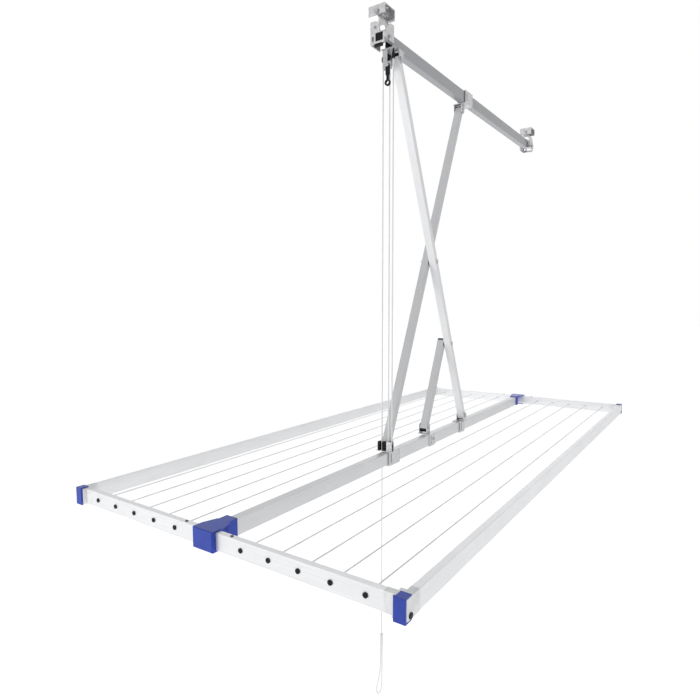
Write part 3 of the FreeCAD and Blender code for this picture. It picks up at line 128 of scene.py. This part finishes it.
# ---- materials
def node(tree, kind, **settings):
    """A new node of a kind, with its settings."""
    made = tree.nodes.new(kind)
    for name, value in settings.items():
        setattr(made, name, value)
    return made


def new_material(name):
    """A material whose tree holds only a Principled shader and the output."""
    material = bpy.data.materials.new(name)
    material.use_nodes = True
    tree = material.node_tree
    tree.nodes.clear()
    output = node(tree, "ShaderNodeOutputMaterial")
    shader = node(tree, "ShaderNodeBsdfPrincipled")
    tree.links.new(shader.outputs["BSDF"], output.inputs["Surface"])
    return material, tree, shader


def noise_at(tree, scale, detail, stretch=(1, 1, 1), turn=0.0):
    """Noise over object coordinates, turned about X and then scaled per axis."""
    place = node(tree, "ShaderNodeTexCoord")
    turned = node(tree, "ShaderNodeMapping", vector_type="POINT")
    turned.inputs["Rotation"].default_value = (turn, 0, 0)
    sized = node(tree, "ShaderNodeMapping", vector_type="POINT")
    sized.inputs["Scale"].default_value = stretch
    noise = node(tree, "ShaderNodeTexNoise")
    noise.inputs["Scale"].default_value = scale
    noise.inputs["Detail"].default_value = detail
    tree.links.new(place.outputs["Object"], turned.inputs["Vector"])
    tree.links.new(turned.outputs["Vector"], sized.inputs["Vector"])
    tree.links.new(sized.outputs["Vector"], noise.inputs["Vector"])
    return noise.outputs["Fac"]


def ramp(tree, value, low, high, start=0.3, end=0.7):
    """Spread a 0 to 1 value between two colours."""
    made = node(tree, "ShaderNodeValToRGB")
    made.color_ramp.elements[0].position = start
    made.color_ramp.elements[1].position = end
    made.color_ramp.elements[0].color = (*low, 1)
    made.color_ramp.elements[1].color = (*high, 1)
    tree.links.new(value, made.inputs["Fac"])
    return made.outputs["Color"]


def spread(tree, value, low, high):
    """Map a 0 to 1 value between two numbers."""
    made = node(tree, "ShaderNodeMapRange")
    made.inputs["To Min"].default_value = low
    made.inputs["To Max"].default_value = high
    tree.links.new(value, made.inputs["Value"])
    return made.outputs["Result"]


def bump(tree, shader, height, strength, distance):
    """Relief on a shader from a 0 to 1 height."""
    made = node(tree, "ShaderNodeBump")
    made.inputs["Strength"].default_value = strength
    made.inputs["Distance"].default_value = distance
    tree.links.new(height, made.inputs["Height"])
    tree.links.new(made.outputs["Normal"], shader.inputs["Normal"])


def shade(colour, factor):
    """A colour made darker or lighter, never past white."""
    return tuple(min(1.0, channel * factor) for channel in colour)


def extruded_metal(name, colour, metallic, roughness, along, turn=0.0):
    """Satin anodised aluminium with fine die lines along an axis that is turned about X."""
    material, tree, shader = new_material(name)
    stretch = tuple(DIE_LINE_STRETCH if axis == along else 1.0 for axis in "XYZ")
    lines = noise_at(tree, DIE_LINE_SCALE, detail=3.0, stretch=stretch, turn=turn)
    clouds = noise_at(tree, METAL_CLOUD_SCALE, detail=2.0)
    mixed = node(tree, "ShaderNodeMix", data_type="FLOAT")
    mixed.inputs["Factor"].default_value = METAL_CLOUD_SHARE
    tree.links.new(lines, mixed.inputs["A"])
    tree.links.new(clouds, mixed.inputs["B"])
    tree.links.new(
        ramp(tree, mixed.outputs["Result"], shade(colour, 0.93), shade(colour, 1.05)),
        shader.inputs["Base Color"],
    )
    uneven = spread(tree, lines, roughness - 0.08, roughness + 0.1)
    tree.links.new(uneven, shader.inputs["Roughness"])
    shader.inputs["Metallic"].default_value = metallic
    bump(tree, shader, lines, strength=0.12, distance=DIE_LINE_DEPTH)
    return material


def plated_steel(name, colour, roughness):
    """Zinc plated sheet with a faint spangle."""
    material, tree, shader = new_material(name)
    place = node(tree, "ShaderNodeTexCoord")
    cells = node(tree, "ShaderNodeTexVoronoi")
    cells.inputs["Scale"].default_value = SPANGLE_SCALE
    tree.links.new(place.outputs["Object"], cells.inputs["Vector"])
    grain = noise_at(tree, SHEET_GRAIN_SCALE, detail=4.0)
    mixed = node(tree, "ShaderNodeMix", data_type="FLOAT")
    mixed.inputs["Factor"].default_value = SPANGLE_GRAIN_SHARE
    tree.links.new(cells.outputs["Distance"], mixed.inputs["A"])
    tree.links.new(grain, mixed.inputs["B"])
    tree.links.new(
        ramp(tree, mixed.outputs["Result"], shade(colour, 0.85), shade(colour, 1.1)),
        shader.inputs["Base Color"],
    )
    uneven = spread(tree, grain, roughness - 0.1, roughness + 0.12)
    tree.links.new(uneven, shader.inputs["Roughness"])
    shader.inputs["Metallic"].default_value = SHEET_METALLIC
    bump(tree, shader, grain, strength=0.1, distance=SHEET_GRAIN_DEPTH)
    return material


def moulded_plastic(name, colour, roughness, coat=0.0, specular=0.5):
    """Injection moulded plastic with a fine grain and slightly uneven gloss."""
    material, tree, shader = new_material(name)
    grain = noise_at(tree, PLASTIC_GRAIN_SCALE, detail=2.0)
    clouds = noise_at(tree, PLASTIC_CLOUD_SCALE, detail=3.0)
    tree.links.new(
        ramp(tree, clouds, shade(colour, 0.88), shade(colour, 1.12)),
        shader.inputs["Base Color"],
    )
    uneven = spread(tree, clouds, roughness - 0.06, roughness + 0.08)
    tree.links.new(uneven, shader.inputs["Roughness"])
    shader.inputs["Specular IOR Level"].default_value = specular
    shader.inputs["Coat Weight"].default_value = coat
    shader.inputs["Coat Roughness"].default_value = COAT_ROUGHNESS
    bump(tree, shader, grain, strength=0.15, distance=PLASTIC_GRAIN_DEPTH)
    return material


def braided_cord(name, colour):
    """A braided cord: crossed helical waves along its length."""
    material, tree, shader = new_material(name)
    place = node(tree, "ShaderNodeTexCoord")
    bands = []
    for lean in (1.0, -1.0):
        turned = node(tree, "ShaderNodeMapping", vector_type="POINT")
        turned.inputs["Rotation"].default_value = (0, lean * BRAID_LEAN, 0)
        wave = node(tree, "ShaderNodeTexWave", bands_direction="Z")
        wave.inputs["Scale"].default_value = BRAID_SCALE
        wave.inputs["Distortion"].default_value = BRAID_WOBBLE
        tree.links.new(place.outputs["Object"], turned.inputs["Vector"])
        tree.links.new(turned.outputs["Vector"], wave.inputs["Vector"])
        bands.append(wave.outputs["Fac"])
    braid = node(tree, "ShaderNodeMath", operation="MULTIPLY")
    tree.links.new(bands[0], braid.inputs[0])
    tree.links.new(bands[1], braid.inputs[1])
    tree.links.new(
        ramp(tree, braid.outputs["Value"], shade(colour, 0.9), colour, start=0.0, end=0.5),
        shader.inputs["Base Color"],
    )
    shader.inputs["Roughness"].default_value = BRAID_ROUGHNESS
    shader.inputs["Sheen Weight"].default_value = BRAID_SHEEN
    bump(tree, shader, braid.outputs["Value"], strength=0.4, distance=BRAID_DEPTH)
    return material


# ---- colours, linear
ALUMINIUM = (0.86, 0.865, 0.875)
# Painted shade: the top rail is the same aluminium, darkened to stand for the shade it is in.
TOP_RAIL_SHADED_COLOUR = (0.34, 0.345, 0.36)
# Painted shade: the centre beam is the same aluminium, darkened to stand for the shade on it.
BEAM_SHADED_COLOUR = (0.70, 0.705, 0.72)
# Painted light: the front arm's copy of the aluminium is lighter than the rear arm's, standing for
# the light on its face.
FRONT_ARM_LIT_COLOUR = (0.80, 0.805, 0.815)
# Painted shade: the rear arm's copy of the aluminium is darkened, standing for the shade it is in.
REAR_ARM_SHADED_COLOUR = (0.62, 0.625, 0.635)
STEEL = (0.55, 0.55, 0.56)
BRIGHT_STEEL = (0.45, 0.45, 0.47)
BLUE = (0.022, 0.060, 0.44)
WHITE_PLASTIC = (0.92, 0.925, 0.93)
BLACK_PLASTIC = (0.008, 0.008, 0.011)
GREY_PLASTIC = (0.55, 0.56, 0.58)
CORD_COLOUR = (0.95, 0.95, 0.95)
LINE_COLOUR = (0.94, 0.94, 0.945)
DARK_STEEL = (0.10, 0.085, 0.075)
BLACK_STEEL = (0.012, 0.012, 0.014)

# ---- the materials in use
along_y = extruded_metal("aluminium_along_y", ALUMINIUM, metallic=0.35, roughness=0.40, along="Y")
along_x = extruded_metal("aluminium_along_x", ALUMINIUM, metallic=0.35, roughness=0.40, along="X")
# Painted shade: a darkened copy of the aluminium for the centre beam.
beam_shaded_metal = extruded_metal("aluminium_beam_painted_shade", BEAM_SHADED_COLOUR, metallic=0.3, roughness=0.40, along="Y")
# Painted shade: a darkened copy of the aluminium for the top rail, standing for the shade on it.
top_rail_shaded_metal = extruded_metal(
    "aluminium_top_rail_painted_shade", TOP_RAIL_SHADED_COLOUR, metallic=0.35, roughness=0.36, along="Y",
)
# Painted light: the front arm's lighter copy of the aluminium, standing for the light falling on it.
front_arm_lit_metal = extruded_metal(
    "aluminium_front_arm_painted_light", FRONT_ARM_LIT_COLOUR, metallic=0.2, roughness=0.42, along="Z", turn=-ARM_LEAN,
)
# Painted shade: the rear arm's darkened copy of the aluminium, standing for the shade on it.
rear_arm_shaded_metal = extruded_metal(
    "aluminium_rear_arm_painted_shade", REAR_ARM_SHADED_COLOUR, metallic=0.2, roughness=0.42, along="Z", turn=ARM_LEAN,
)
sheet_steel = plated_steel("zinc_plated_sheet", STEEL, roughness=0.38)
bright_steel = plated_steel("zinc_plated_fixing", BRIGHT_STEEL, roughness=0.28)
dark_screw = plated_steel("dark_screw", DARK_STEEL, roughness=0.45)
black_screw = plated_steel("black_screw", BLACK_STEEL, roughness=0.5)
blue_plastic = moulded_plastic("blue_plastic", BLUE, roughness=0.34, specular=0.32)
white_plastic = moulded_plastic("white_plastic", WHITE_PLASTIC, roughness=0.45)
black_plastic = moulded_plastic("black_plastic", BLACK_PLASTIC, roughness=0.5, specular=0.15)
grey_plastic = moulded_plastic("grey_plastic", GREY_PLASTIC, roughness=0.45)
cord_braid = braided_cord("braided_cord", CORD_COLOUR)
line_coat = moulded_plastic("line_coating", LINE_COLOUR, roughness=0.35, coat=0.2)

SLOT_MATERIALS = {
    "rail_aluminium": along_y,
    # The arm slot takes the rear arm's darkened copy, with its painted shade.
    "arm_aluminium": rear_arm_shaded_metal,
    "bracket_steel": sheet_steel,
    "fixing_steel": bright_steel,
    "blue_plastic": blue_plastic,
    "white_plastic": white_plastic,
    "black_plastic": black_plastic,
    "grey_plastic": grey_plastic,
    "cord_fibre": cord_braid,
    "line_coating": line_coat,
}
NODE_MATERIALS = {
    "top_rail": top_rail_shaded_metal,
    "centre_beam": beam_shaded_metal,
    "joiner_screws": dark_screw,
    "corner_screws": black_screw,
    "front_long_arm": front_arm_lit_metal,
    "near_right_cross_rail": along_x,
    "far_right_cross_rail": along_x,
    "near_left_cross_rail": along_x,
    "far_left_cross_rail": along_x,
}


def dress_cad_nodes():
    """Give each CAD node its own material, or else its slot's."""
    slot_of = {part["node"]: part["material_slot"] for part in frame["record"]["subparts"]}
    for name, thing in frame["nodes"].items():
        material = NODE_MATERIALS.get(name, SLOT_MATERIALS[slot_of[name]])
        for place in thing.material_slots:
            place.material = material
        if not thing.material_slots:
            thing.data.materials.append(material)


# ---- cords
CORD_SIDES = 6               # bevel resolution
CORD_STEPS = 12              # along each stretch between control points
CORD_ORDER = 3


def nurbs_cord(name, points, radius):
    """A smooth round cord with the points as its spline's control points."""
    curve = bpy.data.curves.new(name, "CURVE")
    curve.dimensions = "3D"
    curve.bevel_depth = radius
    curve.bevel_resolution = CORD_SIDES
    curve.resolution_u = CORD_STEPS
    spline = curve.splines.new("NURBS")
    spline.points.add(len(points) - 1)
    for place, point in zip(spline.points, points):
        place.co = (*point, 1)
    spline.order_u = CORD_ORDER
    spline.use_endpoint_u = True
    curve.use_fill_caps = True
    made = bpy.data.objects.new(name, curve)
    bpy.context.scene.collection.objects.link(made)
    curve.materials.append(cord_braid)
    return made


def make_cords():
    """The hand cord from its turn over the sheave down to the hand loop."""
    knot_foot = -KNOT_TOP_DROP - KNOT_LENGTH
    sheave_top = -SHEAVE_DROP + (FIRST_FALL_X - HAND_CORD_X) / 2
    over = nurbs_cord(
        "cord_over_sheave",
        [
            (FIRST_FALL_X, CORD_Y, -SHEAVE_DROP),
            (FIRST_FALL_X, CORD_Y, sheave_top),
            (HAND_CORD_X, CORD_Y, sheave_top),
            (HAND_CORD_X, CORD_Y, -SHEAVE_DROP),
        ],
        CORD_RADIUS,
    )
    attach(over, "top_frame")
    top = Vector((HAND_CORD_X, CORD_Y, -SHEAVE_DROP))
    foot = Vector((HAND_CORD_X, CORD_Y, -KNOT_TOP_DROP))
    hand = nurbs_cord("hand_cord_braid", [top, top.lerp(foot, 0.5), foot], CORD_RADIUS)
    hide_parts("hand_cord")
    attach(hand, "top_frame")
    route = [(HAND_CORD_X + x, CORD_Y, knot_foot - drop) for x, drop in LOOP_ROUTE]
    loop = nurbs_cord("hand_loop_braid", route, CORD_RADIUS)
    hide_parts("hand_loop")
    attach(loop, "top_frame")


# ---- camera, lights and floor
def make_camera():
    data = bpy.data.cameras.new("camera")
    data.sensor_width = SENSOR_WIDTH
    data.lens = LENS
    data.clip_end = CLIP_END
    camera = bpy.data.objects.new("camera", data)
    bpy.context.scene.collection.objects.link(camera)
    turn = (
        Matrix.Rotation(CAMERA_YAW, 4, "Z")
        @ Matrix.Rotation(math.pi / 2 + CAMERA_PITCH, 4, "X")
        @ Matrix.Rotation(CAMERA_ROLL, 4, "Z")
    )
    camera.matrix_world = Matrix.Translation(CAMERA_PLACE) @ turn
    bpy.context.scene.camera = camera


def area_light(name, place, target, size, power):
    data = bpy.data.lights.new(name, "AREA")
    data.shape = "DISK"
    data.size = size
    data.energy = power
    light = bpy.data.objects.new(name, data)
    light.location = place
    aim = (Vector(target) - Vector(place)).to_track_quat("-Z", "Y")
    light.rotation_euler = aim.to_euler()
    light.visible_camera = False
    bpy.context.scene.collection.objects.link(light)


def seen_by_eye(tree):
    """1 for rays from the camera and for reflections and glass, 0 for light on surfaces."""
    path = node(tree, "ShaderNodeLightPath")
    total = path.outputs["Is Camera Ray"]
    for kind in ("Is Glossy Ray", "Is Transmission Ray"):
        larger = node(tree, "ShaderNodeMath", operation="MAXIMUM")
        tree.links.new(total, larger.inputs[0])
        tree.links.new(path.outputs[kind], larger.inputs[1])
        total = larger.outputs["Value"]
    return total


def make_floor():
    """A pale floor that takes the rack's shadow."""
    mesh = bpy.data.meshes.new("floor")
    signs = ((-1, -1), (1, -1), (1, 1), (-1, 1))
    corners = [(x * FLOOR_REACH, y * FLOOR_REACH, -FLOOR_DROP) for x, y in signs]
    mesh.from_pydata(corners, [], [(0, 1, 2, 3)])
    floor = bpy.data.objects.new("floor", mesh)
    bpy.context.scene.collection.objects.link(floor)
    material, tree, shader = new_material("pale_floor")
    tree.links.new(
        ramp(tree, noise_at(tree, FLOOR_CLOUD_SCALE, detail=2.0), FLOOR_PALE_LOW, FLOOR_PALE),
        shader.inputs["Base Color"],
    )
    shader.inputs["Roughness"].default_value = FLOOR_ROUGHNESS
    shader.inputs["Emission Color"].default_value = (1, 1, 1, 1)
    glow = spread(tree, seen_by_eye(tree), FLOOR_GLOW, FLOOR_SEEN_GLOW)
    tree.links.new(glow, shader.inputs["Emission Strength"])
    mesh.materials.append(material)


def make_world():
    """White where the camera or a reflection looks past the rack, soft grey as a light."""
    world = bpy.data.worlds.new("world")
    world.use_nodes = True
    tree = world.node_tree
    tree.nodes.clear()
    output = node(tree, "ShaderNodeOutputWorld")
    seen = node(tree, "ShaderNodeBackground")
    seen.inputs["Color"].default_value = WHITE_BACKGROUND
    lit = node(tree, "ShaderNodeBackground")
    lit.inputs["Color"].default_value = WORLD_LIGHT
    lit.inputs["Strength"].default_value = WORLD_STRENGTH
    mix = node(tree, "ShaderNodeMixShader")
    tree.links.new(seen_by_eye(tree), mix.inputs["Fac"])
    tree.links.new(lit.outputs["Background"], mix.inputs[1])
    tree.links.new(seen.outputs["Background"], mix.inputs[2])
    tree.links.new(mix.outputs["Shader"], output.inputs["Surface"])
    bpy.context.scene.world = world


def make_stage():
    for lamp in LAMPS:
        area_light(*lamp)
    make_floor()
    make_world()


dress_cad_nodes()
make_cords()
make_camera()
make_stage()
bpy.context.scene.view_settings.view_transform = "Standard"
